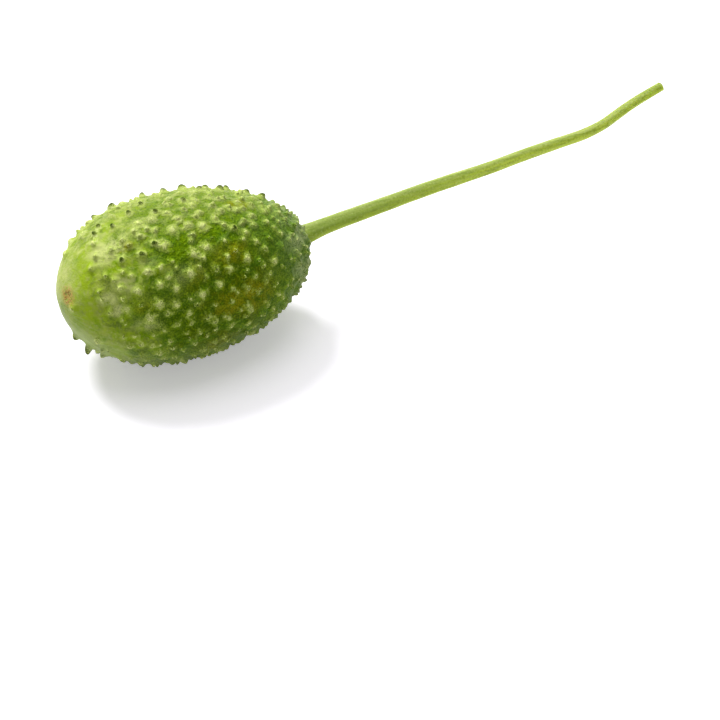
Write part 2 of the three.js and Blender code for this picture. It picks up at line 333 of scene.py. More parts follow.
PATCHES = {
    # (along the half length, degrees around, reach in mm, strength)
    "ochre": (
        (0.15, 168, 4.5, 0.9), (0.34, 168, 5, 1.0), (0.24, 134, 3.5, 0.9), (0.55, 155, 5, 0.3),
        (0.44, 91, 2.5, 0.8), (-0.52, 108, 2, 0.8), (0.05, 200, 4, 0.5), (-0.1, 145, 3, 0.5),
        (-0.5, 158, 2, 0.5),
    ),
    "pale": (
        (-0.65, 104, 4, 1.0), (-0.56, 101, 3, 0.7), (-0.6, 136, 3, 0.8), (-0.73, 147, 2, 1.0),
        (-0.68, 158, 2, 0.9), (0.5, 72, 4, 0.4), (-0.2, 62, 5, 0.5), (-0.4, 126, 3, 0.4),
        (-0.22, 140, 4, 0.4), (-0.62, 146, 2, 0.3), (-0.5, 172, 2.5, 0.6),
    ),
    "lime": (
        (-0.77, 108, 4, 1.0), (-0.86, 120, 4, 1.0), (-0.7, 92, 3.5, 0.8), (-0.8, 136, 4, 0.7),
        (-0.9, 156, 4, 0.9), (-0.74, 165, 4, 0.6), (0.62, 174, 5, 0.8), (-0.54, 158, 6, 0.6),
    ),
    # painted shade in dark olive, low on one side
    "olive": (
        (0.3, 168, 11, 1.0), (0.1, 188, 9, 0.8), (0.6, 165, 9, 0.6), (0.0, 160, 6, 0.5),
    ),
    # painted shade where shade falls on the rind, and a dark crease by the scar
    "shade": (
        (-0.66, 82, 1.8, 0.9), (-0.3, 165, 6, 0.8), (0.35, 112, 6, 0.3), (-0.05, 172, 7, 0.7),
        (0.6, 120, 6, 0.2), (-0.45, 124, 4, 0.4), (0.02, 128, 4, 0.4), (-0.82, 141, 1.2, 0.5),
        (0.5, 66, 7, 0.3), (-0.7, 172, 3, 0.5), (-0.28, 84, 5, 0.4), (-0.62, 190, 5, 0.4),
    ),
}
FRUIT_MASKS = (
    "along", "sunny", "waxy", "swell", "pale_mound", "spine", "dryness", "scar", "ochre", "pale",
    "lime", "olive", "shade",
)


def lay_out_prickles(skin, settings):
    """A golden-angle spiral, loosened, with room left for the chosen prickles."""
    count = settings.prickle_count
    chosen_along, chosen_around, chosen_height, chosen_mound = np.array(CHOSEN_PRICKLES).T
    chosen_polar, chosen_around = spot(chosen_along, chosen_around)
    chosen_places = skin.body_point(chosen_polar, chosen_around)

    index = np.arange(count)
    polar, around = skin.step_over(
        np.arccos(between(*PRICKLE_ENDS, (index + 0.5) / count)),
        index * GOLDEN_ANGLE,
        PRICKLE_SCATTER * (scatter(index, 1) - 0.5),
        PRICKLE_SCATTER * (scatter(index, 2) - 0.5),
    )
    thinned = np.interp(np.cos(polar), SPARSE_ALONG, (SPARSE_SHARE, 1))
    keep = scatter(index, 10) < thinned
    places = skin.body_point(polar, around)
    keep &= np.linalg.norm(places[:, None] - chosen_places, axis=-1).min(1) >= CHOSEN_CLEARANCE
    for centre, reach, _depth in skin.dishes:
        keep &= np.linalg.norm(places - centre, axis=-1) >= reach + DISH_CLEARANCE

    share = scatter(index, 3) ** SHORT_PRICKLES
    short = between(settings.short_prickle, settings.tall_prickle, share)
    mound = between(*MOUND_RADIUS, scatter(index, 4))
    index = np.concatenate([count + np.arange(len(CHOSEN_PRICKLES)), index[keep]])
    polar = np.concatenate([chosen_polar, polar[keep]])
    around = np.concatenate([chosen_around, around[keep]])
    height = np.concatenate([chosen_height * MM, short[keep]])
    mound = np.concatenate([chosen_mound * MM, mound[keep]])

    places = skin.body_point(polar, around)
    gaps = np.linalg.norm(places[:, None] - places, axis=-1)
    np.fill_diagonal(gaps, np.inf)
    share = np.where(index < count, MOUND_SHARE, CHOSEN_MOUND_SHARE)
    mound = np.minimum(mound, share * gaps.min(1))
    return {"index": index, "polar": polar, "around": around, "height": height, "mound": mound}


def nub_rings(skin, prickles):
    """Spots of the rings of every nub, from its tip outwards."""
    turn = FULL_TURN * np.arange(RING_SIDES) / RING_SIDES
    shares = np.array(RING_SHARES)[:, None]
    dents = 0
    for purpose, waves, depth in RING_WAVES:
        phase = FULL_TURN * scatter(prickles["index"], purpose)[:, None, None]
        dents = dents + depth * np.sin(waves * turn + phase)
    out = NUB_SHARE * prickles["mound"][:, None, None] * shares * (1 + dents)
    polar, around = skin.step_over(
        prickles["polar"][:, None, None] + 0 * out,
        prickles["around"][:, None, None] + 0 * out,
        out * np.cos(turn),
        out * np.sin(turn),
    )
    return polar.ravel(), around.ravel()


def prickle_tree(skin, prickles):
    """The prickles' places, to be searched by nearness."""
    tree = kdtree.KDTree(len(prickles["index"]))
    for number, place in enumerate(skin.body_point(prickles["polar"], prickles["around"])):
        tree.insert(place, number)
    tree.balance()
    return tree


def filler_spots(skin, prickles, tree, step):
    """Plain skin between the nubs, spread evenly over its area."""
    table = np.linspace(0, math.pi, 2001)
    line = skin.body_point(table, np.zeros_like(table))
    run = np.hypot(np.gradient(line[:, 0]), np.gradient(line[:, 1]))
    area = np.cumsum(run * FULL_TURN * skin.radius * np.sin(table))
    count = int(area[-1] / (math.sin(math.pi / 3) * step**2))
    index = np.arange(count)
    polar = np.interp((index + 0.5) / count * area[-1], area, table)
    around = (index * GOLDEN_ANGLE) % FULL_TURN
    foot = NUB_SHARE * prickles["mound"] * FOOT_MARGIN + FOOT_GAP * step
    keep = []
    for number, place in enumerate(skin.body_point(polar, around)):
        if all(distance > foot[other] for _place, other, distance in tree.find_n(place, 2)):
            keep.append(number)
    return polar[keep], around[keep]


def mound_cover(body, prickles, tree):
    """How far up the soft mounds each point is, and how pale those mounds are, from 0 to 1."""
    paleness = between(*PALENESS, scatter(prickles["index"], 11))
    paleness[: len(CHOSEN_PRICKLES)] = 1
    flat = np.ones(len(body))
    green = np.ones(len(body))
    for number, place in enumerate(body):
        ragged = 1 + MOUND_RAGGED * noise.noise(Vector(place) / RAGGED_SIZE)
        for _place, other, distance in tree.find_n(place, 4):
            cover = math.exp(-((distance * ragged / prickles["mound"][other]) ** 2))
            flat[number] *= 1 - cover
            green[number] *= 1 - paleness[other] * cover
    return 1 - flat, 1 - green


def prickle_dryness(prickles):
    """From 0 to 1. The fewest have dried on the side that faces the lamps and in front of it."""
    turned = (prickles["around"] - LAMP_SIDE + math.pi) % FULL_TURN - math.pi
    turned = np.where(turned < 0, np.maximum(BACK_TURN * turned, -math.pi), turned)
    dryness = scatter(prickles["index"], 9) * (1 - 0.25 * (1 + np.cos(turned)))
    chosen = slice(0, len(CHOSEN_PRICKLES))
    dryness[chosen] = prickles["height"][chosen] > DRY_HEIGHT
    return dryness


def fruit_geometry(skin, settings):
    """Corner places, faces and the painted masks of the whole fruit."""
    prickles = lay_out_prickles(skin, settings)
    tree = prickle_tree(skin, prickles)
    count = len(prickles["index"])
    rings = len(RING_SHARES)
    ring_polar, ring_around = nub_rings(skin, prickles)
    fill_polar, fill_around = filler_spots(skin, prickles, tree, settings.skin_step)
    polar = np.concatenate([prickles["polar"], ring_polar, fill_polar])
    around = np.concatenate([prickles["around"], ring_around, fill_around])
    owner = np.concatenate([np.arange(count), np.repeat(np.arange(count), rings * RING_SIDES)])
    share = np.concatenate([np.zeros(count), np.tile(np.repeat(RING_SHARES, RING_SIDES), count)])
    on_nub = slice(0, len(owner))

    # The soft mounds swell the skin, and a nub stands up from the top of each.
    body = skin.body_point(polar, around)
    swell, pale_mound = mound_cover(body, prickles, tree)
    height = SWELL_HEIGHT * (swell - SWELL_LEVEL)
    for depth, size in UNEVENNESS:
        height += depth * np.array([noise.noise(Vector(place) / size) for place in body])
    points = skin.place(polar, around, height)

    tall = (prickles["height"] - SWELL_HEIGHT * (1 - SWELL_LEVEL))[owner]
    bluntness = np.where(owner < len(CHOSEN_PRICKLES), CHOSEN_BLUNTNESS, NUB_BLUNTNESS)
    rise = tall * (1 - share**bluntness)
    up = (skin.normal(prickles["polar"], prickles["around"]) @ skin.tilt.T)[owner]
    leaning = FULL_TURN * scatter(prickles["index"], 5)
    root = skin.place(prickles["polar"], prickles["around"])
    aside = skin.step_over(
        prickles["polar"], prickles["around"], MM * np.cos(leaning), MM * np.sin(leaning)
    )
    aside = ((skin.place(*aside) - root) / MM)[owner]
    points[on_nub] += up * rise[:, None] + aside * (LEAN * rise**2 / tall)[:, None]
    points[:, 2] = np.maximum(points[:, 2], 0)

    faces = nub_faces(count, rings) + skin_between(skin, polar, around, count, rings)

    spine = np.zeros(len(body))
    spine[on_nub] = rise / tall
    dryness = np.zeros(len(body))
    dryness[on_nub] = prickle_dryness(prickles)[owner]
    scar_centre, scar_reach, _depth = skin.dishes[0]
    masks = {
        "along": np.cos(polar),
        # how far the skin faces the lamps' side, which steers painted light and painted shade
        "sunny": 0.5 + 0.5 * np.cos(around - LAMP_SIDE),
        # how far the skin faces the rims where painted sheen is laid
        "waxy": skin.normal(polar, around) @ SHEEN_RIM_SIDE,
        "swell": swell,
        "pale_mound": pale_mound,
        "spine": spine,
        "dryness": dryness,
        "scar": np.clip(1 - np.linalg.norm(body - scar_centre, axis=1) / (2 * scar_reach), 0, 1),
        "flow": np.stack([np.cos(polar), np.cos(around), np.sin(around)], -1) * FLOW,
    }
    for name, patches in PATCHES.items():
        masks[name] = patch_mask(skin, body, patches)
    return points, faces, masks


def nub_faces(count, rings):
    """A fan round every nub's tip, then the bands between its rings."""
    faces = []
    for number in range(count):
        start = count + number * rings * RING_SIDES
        for side in range(RING_SIDES):
            after = (side + 1) % RING_SIDES
            faces.append((number, start + after, start + side))
            for inner in range(start, start + (rings - 1) * RING_SIDES, RING_SIDES):
                outer = inner + RING_SIDES
                faces.append((inner + after, outer + after, outer + side, inner + side))
    return faces


def patch_mask(skin, body, patches):
    """Soft spots on the rind."""
    mask = np.zeros(len(body))
    for along, around, reach, strength in patches:
        away = (body - skin.body_point(*spot(along, around))) / PATCH_STRETCH
        fade = np.exp(-((np.linalg.norm(away, axis=1) / (reach * MM)) ** 2))
        mask = np.maximum(mask, strength * fade)
    return mask


def skin_between(skin, polar, around, count, rings):
    """Triangles of the plain skin, from each nub's outermost ring to the next."""
    x, y = skin.unrolled(polar, around)
    outer = count + np.arange(count * rings * RING_SIDES).reshape(count, rings, RING_SIDES)[:, -1]
    used = np.concatenate([outer.ravel(), np.arange(count * (1 + rings * RING_SIDES), len(polar))])
    ring_of = np.full(len(used), -1)
    ring_of[: outer.size] = np.repeat(np.arange(count), RING_SIDES)
    edges = []
    for start in range(0, count * RING_SIDES, RING_SIDES):
        edges += [(start + side, start + (side + 1) % RING_SIDES) for side in range(RING_SIDES)]
    flat = [Vector((x[i], y[i])) for i in used]
    _places, _edges, faces, origins, *_rest = delaunay_2d_cdt(flat, edges, [], 0, 1e-9)
    source = [origin[0] for origin in origins]
    kept = []
    for face in faces:
        corners = [source[i] for i in face]
        rings_met = {ring_of[i] for i in corners}
        if len(rings_met) > 1 or -1 in rings_met:
            kept.append(tuple(int(used[i]) for i in reversed(corners)))

    # The unrolled skin ends in a small rim under the stalk, and one more face closes it.
    sides = {pair for face in faces for pair in zip(face, (*face[1:], face[0]))}
    onward = {start: end for start, end in sides if (end, start) not in sides}
    rim = [min(onward)]
    while onward[rim[-1]] != rim[0]:
        rim.append(onward[rim[-1]])
    kept.append(tuple(int(used[source[i]]) for i in rim))
    return kept


# ---------- the stalk

STALK_ROUTE = (
    # in mm, from the stalk's spot on the fruit
    (0, 0, 0.15), (3.2, 0.5, 0.3), (8.8, 1.7, 0.1), (18.6, 3.4, -0.4), (28.5, 5.1, -0.9),
    (38.6, 6.8, -1.4), (48.6, 8.1, -1.8), (58.7, 9.4, -2.3), (69.3, 11.2, -2.7),
    (79.8, 12.7, -3.1), (89.5, 13.9, -3.4), (96.5, 15.6, -3.3), (102.5, 18.0, -3.0),
    (108.7, 20.3, -2.5), (118.3, 22.6, -1.3),
)
STALK_SINK = 1.6 * MM  # how far the stalk's foot runs into the fruit
STALK_FLARE = 1.4 * MM
FLARE_LENGTH = 3 * MM
STALK_TAPER = 0.8  # less than 1 makes it thin down sooner
STALK_RINGS = 260
STALK_SIDES = 40
STALK_RIDGES = 5
RIDGE_DEPTH = 0.022  # of the stalk's half thickness
RIDGE_START = 0.5  # radians round the foot
RIDGE_TWIST = 0.9  # radians from the foot to the cut end
DENT_DEPTH = 0.035  # of the stalk's half thickness
DENT_WAVES = 160  # per metre along the stalk
DENT_CIRCLE = 2  # radius of the circle in the noise that one turn of the stalk follows
ROUTE_STEPS = 24  # of the spline between two of the route's points
CUT_RINGS = 6
CUT_CROWN = 0.1 * MM  # how far the cut end rounds out
CUT_HOLLOW = 0.16 * MM  # and how deep its pith has dried in
FIBRE_SIZE = (14 * MM, 0.9 * MM, 0.9 * MM)
FLECK_SIZE = 0.6 * MM


def smooth_route(points, count):
    """Evenly spaced points on a centripetal spline through the given ones, and its length."""
    ghosts = [2 * points[0] - points[1], *points, 2 * points[-1] - points[-2]]
    fine = []
    for a, b, c, d in zip(ghosts, ghosts[1:], ghosts[2:], ghosts[3:]):
        t0 = 0.0
        t1 = t0 + np.linalg.norm(b - a) ** 0.5
        t2 = t1 + np.linalg.norm(c - b) ** 0.5
        t3 = t2 + np.linalg.norm(d - c) ** 0.5
        for t in np.linspace(t1, t2, ROUTE_STEPS, endpoint=False):
            ab = (t1 - t) / (t1 - t0) * a + (t - t0) / (t1 - t0) * b
            bc = (t2 - t) / (t2 - t1) * b + (t - t1) / (t2 - t1) * c
            cd = (t3 - t) / (t3 - t2) * c + (t - t2) / (t3 - t2) * d
            abc = (t2 - t) / (t2 - t0) * ab + (t - t0) / (t2 - t0) * bc
            bcd = (t3 - t) / (t3 - t1) * bc + (t - t1) / (t3 - t1) * cd
            fine.append((t2 - t) / (t2 - t1) * abc + (t - t1) / (t2 - t1) * bcd)
    fine = np.array([*fine, points[-1]])
    run = np.concatenate([[0], np.cumsum(np.linalg.norm(np.diff(fine, axis=0), axis=1))])
    even = np.linspace(0, run[-1], count)
    return np.stack([np.interp(even, run, fine[:, axis]) for axis in range(3)], -1), run[-1]


def stalk_geometry(skin, settings):
    """A five-ridged taper along the route, closed by a rounded cut end."""
    foot = skin.place(*[np.array(angle) for angle in spot(*STALK_SPOT)])
    points = [foot + np.array(offset) * MM for offset in STALK_ROUTE]
    heading = points[1] - points[0]
    points[0] = points[0] - heading / np.linalg.norm(heading) * STALK_SINK
    centre, length = smooth_route(points, STALK_RINGS)

    tangent = np.gradient(centre, axis=0)
    tangent /= np.linalg.norm(tangent, axis=1, keepdims=True)
    side = np.cross(tangent, [0, 0, 1])
    side /= np.linalg.norm(side, axis=1, keepdims=True)
    up = np.cross(side, tangent)

    share = np.linspace(0, 1, STALK_RINGS)
    flare = STALK_FLARE * np.exp(-np.maximum(share * length - STALK_SINK, 0) / FLARE_LENGTH)
    thickness = between(settings.base_diameter, settings.end_diameter, share**STALK_TAPER)
    half = (thickness + flare) / 2
    turn = FULL_TURN * np.arange(STALK_SIDES) / STALK_SIDES
    twist = RIDGE_START + RIDGE_TWIST * share
    ridge = np.cos(STALK_RIDGES * (turn + twist[:, None]))
    circle = [(DENT_CIRCLE * math.cos(angle), DENT_CIRCLE * math.sin(angle)) for angle in turn]
    runs = share * length * DENT_WAVES
    dents = np.array([[noise.noise(Vector((run, *around))) for around in circle] for run in runs])
    radius = half[:, None] * (1 + RIDGE_DEPTH * ridge + DENT_DEPTH * dents)
    rings = centre[:, None] + radius[..., None] * (
        np.cos(turn)[None, :, None] * side[:, None] + np.sin(turn)[None, :, None] * up[:, None]
    )
    places = [rings.reshape(-1, 3)]
    masks = {
        "ridge": [(0.5 + 0.5 * ridge).ravel()],
        "along_stalk": [np.repeat(share, STALK_SIDES)],
        "upper": [np.tile(np.sin(turn), STALK_RINGS)],
        "cut": [np.zeros(STALK_RINGS * STALK_SIDES)],
    }
    # The cut end: the rim rounds over, and the softer pith inside has dried in a little.
    for ring in range(1, CUT_RINGS + 1):
        inward = 1 - ring / CUT_RINGS
        rim = centre[-1] + (rings[-1] - centre[-1]) * max(inward, 1e-3)
        rise = CUT_CROWN * math.sin(math.pi * (1 - inward)) - CUT_HOLLOW * (1 - inward) ** 2
        places.append(rim + tangent[-1] * rise)
        masks["ridge"].append(0.5 + 0.5 * ridge[-1])
        masks["along_stalk"].append(np.ones(STALK_SIDES))
        masks["upper"].append(np.sin(turn))
        masks["cut"].append(np.full(STALK_SIDES, 1.0 if ring > 1 else 0.4))
    faces = []
    for ring in range(STALK_RINGS + CUT_RINGS - 1):
        for number in range(STALK_SIDES):
            after = (number + 1) % STALK_SIDES
            low, high = ring * STALK_SIDES, (ring + 1) * STALK_SIDES
            faces.append((low + number, high + number, high + after, low + after))
    faces.append(tuple(range(STALK_SIDES)))
    last = (STALK_RINGS + CUT_RINGS - 1) * STALK_SIDES
    faces.append(tuple(last + number for number in reversed(range(STALK_SIDES))))
    return np.concatenate(places), faces, {name: np.concatenate(m) for name, m in masks.items()}


# ---------- meshes and materials

CLOUD_SPAN = (0.3, 0.7)  # the values that most of a noise cloud keeps to
CLOUDS = (
    # name, size in mm, detail
    ("broad", 8, 2.0), ("patch", 4.5, 2.0), ("blotch", 2.4, 3.0), ("mottle", 0.9, 2.0),
    ("grain", 0.36, 2.0),
)
STREAKS = 2.2  # of them to a unit of the flow
ZONE_WAVER = 0.8  # how far the zones' edges may move, of the half length
RAGGED_TOPS = 0.32  # how far the edges of the pale tops may move, of a mound's cover
RAGGED_SKIN = 0.6  # and those round the mounds, of that
SHINE = (0.36, 0.55)  # least and most roughness of the rind
LUMPINESS = (0.25, 0.8)  # at the blossom end, and past it
LUMP_HEIGHT = 0.9 * MM
GRAIN_HEIGHT = 0.15 * MM


def put_in_scene(name, data):
    item = bpy.data.objects.new(name, data)
    bpy.context.scene.collection.objects.link(item)
    return item


def make_piece(name, places, faces, masks, material):
    """A smooth closed mesh with its masks as point attributes."""
    mesh = bpy.data.meshes.new(name)
    mesh.from_pydata(places.tolist(), [], faces)
    for mask, values in masks.items():
        kind, field = ("FLOAT", "value") if values.ndim == 1 else ("FLOAT_VECTOR", "vector")
        attribute = mesh.attributes.new(mask, kind, "POINT")
        attribute.data.foreach_set(field, values.astype(np.float32).ravel())
    mesh.shade_smooth()
    mesh.materials.append(material)
    return put_in_scene(name, mesh)


def add(tree, kind, inputs=None, **settings):
    """Adds a node. An input is a value, or the socket that it is linked from."""
    node = tree.nodes.new(kind)
    for name, value in settings.items():
        setattr(node, name, value)
    for name, value in (inputs or {}).items():
        if isinstance(value, bpy.types.NodeSocket):
            tree.links.new(value, node.inputs[name])
        elif hasattr(value, "__len__") and len(value) == 3 and node.inputs[name].type == "RGBA":
            node.inputs[name].default_value = (*value, 1)
        else:
            node.inputs[name].default_value = value
    return node


def remap(tree, value, span, onto, **settings):
    """Moves a value from one span onto another."""
    names = ("From Min", "From Max", "To Min", "To Max")
    inputs = {"Value": value, **dict(zip(names, (*span, *onto)))}
    return add(tree, "ShaderNodeMapRange", inputs, **settings).outputs["Result"]


def maths(tree, operation, *values):
    inputs = dict(enumerate(values))
    return add(tree, "ShaderNodeMath", inputs, operation=operation).outputs["Value"]


def read_masks(tree, names):
    """The mesh's masks, as sockets by name."""
    return {
        name: add(tree, "ShaderNodeAttribute", attribute_name=name).outputs["Fac"]
        for name in names
    }


def new_material(name):
    material = bpy.data.materials.new(name)
    material.use_nodes = True
    material.node_tree.nodes.clear()
    return material, material.node_tree


def lay_coats(tree, settings, ground, coats):
    """Lays coats over a ground. Each has its colour's name, its strength and its masks.

    A mask is a socket, with the two values between which the coat fades in.
    """
    colour = getattr(settings, ground)[:]
    for name, strength, *masks in coats:
        for value, low, high in masks:
            strength = remap(
                tree, value, (low, high), (0, strength), interpolation_type="SMOOTHSTEP"
            )
        coat = getattr(settings, name)[:]
        mixed = add(tree, "ShaderNodeMix", {0: strength, 6: colour, 7: coat}, data_type="RGBA")
        colour = mixed.outputs[2]
    return colour


def rind_clouds(tree):
    """Noise of each size that the rind's patches, blotches, specks and streaks have."""
    place = add(tree, "ShaderNodeTexCoord").outputs["Object"]
    flow = add(tree, "ShaderNodeAttribute", attribute_name="flow").outputs["Vector"]
    clouds = [(name, place, 1 / (size * MM), detail) for name, size, detail in CLOUDS]
    cloud = {}
    for name, vector, scale, detail in (*clouds, ("streak", flow, STREAKS, 2.0)):
        texture = add(
            tree, "ShaderNodeTexNoise",
            {"Vector": vector, "Scale": scale, "Detail": detail, "Roughness": 0.55},
        )
        cloud[name] = texture.outputs["Fac"]
    return cloud


def rind_colour(tree, settings, mask, cloud, along):
    """Greens of the zones, patches, mounds, wax, prickles and scar, laid in that order, with
    painted light, shade, sheen and glints among them.
    """
    # The pale tops run out raggedly.
    dents = remap(tree, cloud["mottle"], CLOUD_SPAN, (-RAGGED_TOPS, RAGGED_TOPS))
    mound = maths(tree, "ADD", mask["pale_mound"], dents)
    hummock = maths(tree, "MULTIPLY_ADD", dents, RAGGED_SKIN, mask["swell"])
    # painted shade: dark coats with this fade in away from the lamp-facing top
    painted_shade_side = (mask["sunny"], 1.2, 0.7)
    # the lamp-facing top band, where painted light is laid
    lit_top_band = (mask["sunny"], 0.7, 0.9)
    off_blossom_end = (along, -0.9, -0.3)
    return lay_coats(tree, settings, "middle_green", (
        # zones and clouds of the flat skin, with painted light on the lamp-facing top, painted
        # shade low on one side and painted sheen on the blossom end's rim
        ("light_green", 0.6, (cloud["broad"], 0.45, 0.62)),
        ("grass_green", 0.7, (cloud["patch"], 0.48, 0.6)),
        # painted shade: dark olive low on one side
        ("olive", 0.75, (mask["olive"], 0.1, 0.6), (cloud["patch"], 0.62, 0.5)),
        # painted light: the top that faces the lamps is painted lighter
        ("painted_light_green", 0.9, (mask["sunny"], 0.78, 1.0)),
        ("stalk_end_green", 0.9, (along, 0.35, 0.8)),
        ("lime_green", 0.4, (along, -0.5, -0.8)),
        ("light_green", 0.7, (cloud["blotch"], 0.4, 0.6), (along, -0.4, -0.7)),
        ("pale_and_lit_green", 0.3, (cloud["mottle"], 0.52, 0.68), (along, -0.35, -0.7)),
        ("middle_green", 0.55, (cloud["blotch"], 0.44, 0.3), (along, -0.35, -0.7)),
        ("grass_green", 0.25, (cloud["patch"], 0.52, 0.64), (along, -0.3, -0.7)),
        # painted sheen: a pale rim round the blossom end
        ("pale_and_lit_green", 0.6, (mask["along"], -0.8, -0.95), (mask["sunny"], 0.4, 0.8)),
        ("lime_green", 0.8, (mask["lime"], 0.1, 0.9), (cloud["blotch"], 0.65, 0.4)),
        # blotches and specks between the mounds, with painted shade in the furrows and off the
        # lamp-facing top, and painted light on that top's mounds
        # painted shade: the shade patches darken the rind
        ("blotch_and_shade_green", 0.85, (mask["shade"], 0.1, 0.9), (cloud["blotch"], 0.3, 0.5)),
        # these dark blotches and specks are kept off the lamp-facing top: partly real blotches,
        # partly painted shade on the far side
        ("blotch_and_shade_green", 0.75, (cloud["blotch"], 0.5, 0.6), (along, -0.6, -0.1), painted_shade_side),
        ("blotch_and_shade_green", 0.5, (cloud["blotch"], 0.48, 0.6), (along, -1.1, -0.7),
         (along, -0.2, -0.6), (mask["sunny"], 0.6, 0.35)),
        ("blotch_and_shade_green", 0.35, (cloud["mottle"], 0.5, 0.62), off_blossom_end, painted_shade_side),
        ("lime_green", 0.42, (cloud["mottle"], 0.48, 0.36)),
        # painted shade in the furrows between the mounds, away from the lit top
        ("blotch_and_shade_green", 0.4, (mask["swell"], 0.5, 0.05), (along, -0.8, -0.3), painted_shade_side),
        # painted shade: the hollows between the lamp-facing mounds stay darker
        ("middle_green", 0.5, (hummock, 0.3, 0.0), (mask["sunny"], 0.65, 0.8), (along, -0.7, -0.2)),
        # painted light on the tops of the lamp-facing mounds
        ("pale_and_lit_green", 0.75, (hummock, 0.15, 0.65), lit_top_band,
         (along, -0.9, -0.5), (mask["along"], 0.9, 0.3)),
        # painted shade: the stalk end's green laid again over the painted light on that less lit
        # end
        ("stalk_end_green", 0.35, (mask["along"], 0.25, 0.7)),
        # ripening and pale patches, and painted light and shade specks on the lamp-facing top
        ("ochre", 1.0, (mask["ochre"], 0.1, 0.9), (cloud["blotch"], 0.75, 0.3)),
        ("pale_and_lit_green", 0.9, (mask["pale"], 0.1, 0.9), (cloud["blotch"], 0.3, 0.52)),
        ("pale_and_lit_green", 0.2, (cloud["streak"], 0.64, 0.7), (along, -0.5, -0.8)),
        # painted light: pale blotches on the lamp-facing top
        ("pale_and_lit_green", 0.45, (cloud["blotch"], 0.48, 0.64), (mask["sunny"], 0.8, 1.0)),
        # partly green rind, partly painted shade: darker specks on the lit top for the nubs' small
        # shadows
        ("grass_green", 0.6, (cloud["mottle"], 0.55, 0.66), lit_top_band, (along, -0.7, -0.3)),
        # soft mounds, with a painted highlight on the lamp-facing ones
        ("mound_green", 0.85, (mound, 0.2, 0.8), (mask["along"], 1.3, 0.5)),
        ("pale_and_lit_green", 0.6, (mound, 0.55, 0.95), (mask["along"], 1.1, 0.45)),
        # painted highlight: cream tops on the lamp-facing mounds
        ("painted_highlight_cream", 0.35, (mound, 0.5, 1.0), (mask["sunny"], 0.75, 0.92), (mask["along"], 0.9, 0.35)),
        # wax bloom and painted sheen on the rims, and what shows through them
        ("bloom_and_sheen", 0.25, (mask["sunny"], 0.2, 0.03)),
        ("bloom_and_sheen", 0.85, (mask["waxy"], 0.4, 0.95), (cloud["streak"], 0.25, 0.58)),
        ("bloom_and_sheen", 0.8, (mask["along"], 0.62, 0.88), (cloud["patch"], 0.32, 0.58)),
        ("blotch_and_shade_green", 0.65, (cloud["mottle"], 0.55, 0.64), (mask["along"], 0.5, 0.8)),
        ("blotch_and_shade_green", 0.55, (cloud["grain"], 0.48, 0.62), off_blossom_end,
         (mask["sunny"], 1.4, 0.6)),
        ("lime_green", 0.25, (cloud["grain"], 0.47, 0.33), off_blossom_end),
        # prickles, with painted glints and painted shadow specks at their feet
        # partly pale fresh tips, partly painted glints on the prickles' tops
        ("pale_and_lit_green", 0.8, (mask["spine"], 0.7, 0.95), (mask["dryness"], 0.45, 0.3)),
        ("old_prickle", 0.75, (mask["spine"], 0.15, 0.75), (mask["dryness"], 0.9, 0.99)),
        # painted shadow: dark specks at the feet of the nubs, away from the lit top
        ("tip_and_shadow_dark", 0.5, (cloud["grain"], 0.46, 0.38), (mask["spine"], 0.05, 0.3),
         (mask["sunny"], 0.9, 0.6)),
        # painted glints on the prickles
        ("painted_glint", 0.9, (cloud["grain"], 0.55, 0.62), (mask["spine"], 0.1, 0.4)),
        ("tip_and_shadow_dark", 0.95, (mask["spine"], 0.76, 0.97), (mask["dryness"], 0.5, 0.7),
         (cloud["grain"], 0.38, 0.54)),
        ("tip_and_shadow_dark", 0.7, (mask["spine"], 0.5, 0.9), (mask["dryness"], 0.9, 0.99),
         (mask["sunny"], 0.55, 0.8), (cloud["grain"], 0.4, 0.55)),
        # blossom scar
        ("scar_tan", 0.95, (mask["scar"], 0.05, 0.6), (cloud["mottle"], 0.38, 0.52)),
        ("scar_dark", 0.95, (mask["scar"], 0.3, 0.7), (cloud["grain"], 0.53, 0.59)),
    ))


def rind_relief(tree, cloud, along):
    """Small lumps, fainter at the blossom end, with a fine grain over them."""
    lumpiness = remap(tree, along, (-0.9, -0.3), LUMPINESS)
    lumpy = add(
        tree, "ShaderNodeBump",
        {"Height": cloud["mottle"], "Strength": lumpiness, "Distance": LUMP_HEIGHT},
    ).outputs["Normal"]
    grainy = {"Height": cloud["grain"], "Strength": 0.7, "Distance": GRAIN_HEIGHT, "Normal": lumpy}
    return add(tree, "ShaderNodeBump", grainy).outputs["Normal"]


def rind_material(settings):
    """Waxed cucurbit rind, as grown: a thin cuticle over soft green flesh.

    The eye gets a broad soft gloss, broken by small lumps that fade out at the blossom end, pale
    mounds where the green thins, dark blotches between them, faint streaks and greyish wax that
    fan out from the scar, and small dry tips. Painted light lightens the lamp-facing top, painted
    shade darkens the lower side and the furrows, painted sheen pales the rims, and painted glints
    and shadow specks sit on the prickles.
    """
    material, tree = new_material("waxed_gherkin_rind")
    mask = read_masks(tree, FRUIT_MASKS)
    cloud = rind_clouds(tree)

    # Zones with wavering edges: the position along the fruit, moved by the broad cloud.
    waver = remap(tree, cloud["broad"], (0, 1), (-ZONE_WAVER, ZONE_WAVER))
    along = maths(tree, "ADD", mask["along"], waver)
    rind = add(
        tree, "ShaderNodeBsdfPrincipled",
        {
            "Base Color": rind_colour(tree, settings, mask, cloud, along),
            "Roughness": remap(tree, cloud["mottle"], CLOUD_SPAN, SHINE),
            "IOR": 1.4,
            "Specular IOR Level": 0.03,
            "Normal": rind_relief(tree, cloud, along),
            "Subsurface Weight": 0.08,
            "Subsurface Radius": (0.9, 1.0, 0.2),
            "Subsurface Scale": 0.8 * MM,
            "Sheen Weight": 0.06,
            "Sheen Roughness": 0.22,
            "Sheen Tint": (0.85, 0.88, 0.6),
        },
    )
    add(tree, "ShaderNodeOutputMaterial", {"Surface": rind.outputs["BSDF"]})
    return material


